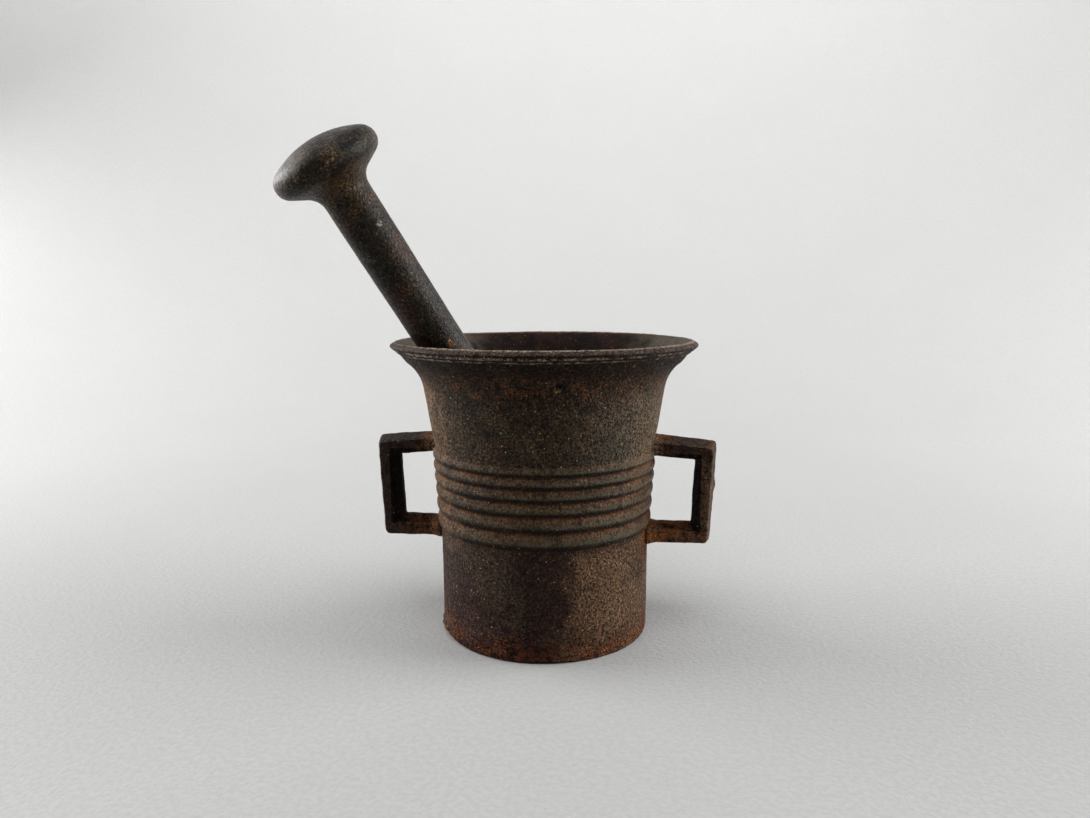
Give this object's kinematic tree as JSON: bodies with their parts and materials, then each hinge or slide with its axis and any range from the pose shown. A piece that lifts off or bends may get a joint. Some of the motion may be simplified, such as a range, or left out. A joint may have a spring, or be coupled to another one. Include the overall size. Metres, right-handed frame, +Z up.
{
  "type": "mortar and pestle",
  "caption": "Cast-iron mortar with flared lip, ribbed waist and square side handles, with a loose iron pestle leaning in the bowl.",
  "frame": {"origin": "centre of the mortar's foot, on the face it stands on", "axes": "+Z up along the mortar's axis, handles along X, the pestle leans towards -X and -Y"},
  "size_m": [0.1602, 0.128, 0.1981],
  "materials": {
    "mortar_iron": "sand-cast iron, rusted brown, satin worn on the ribs and lip",
    "pestle_iron": "cast iron worn smooth, dark brown patina with a soft gloss"
  },
  "bodies": {
    "mortar": {"mortar": "mortar_iron"},
    "pestle": {"pestle": "pestle_iron"}
  },
  "joints": [
    {"name": "pestle_lift", "type": "slide", "parent": "mortar", "child": "pestle", "axis": [0, 0, 1], "range_m": [0, 0.125]}
  ]
}
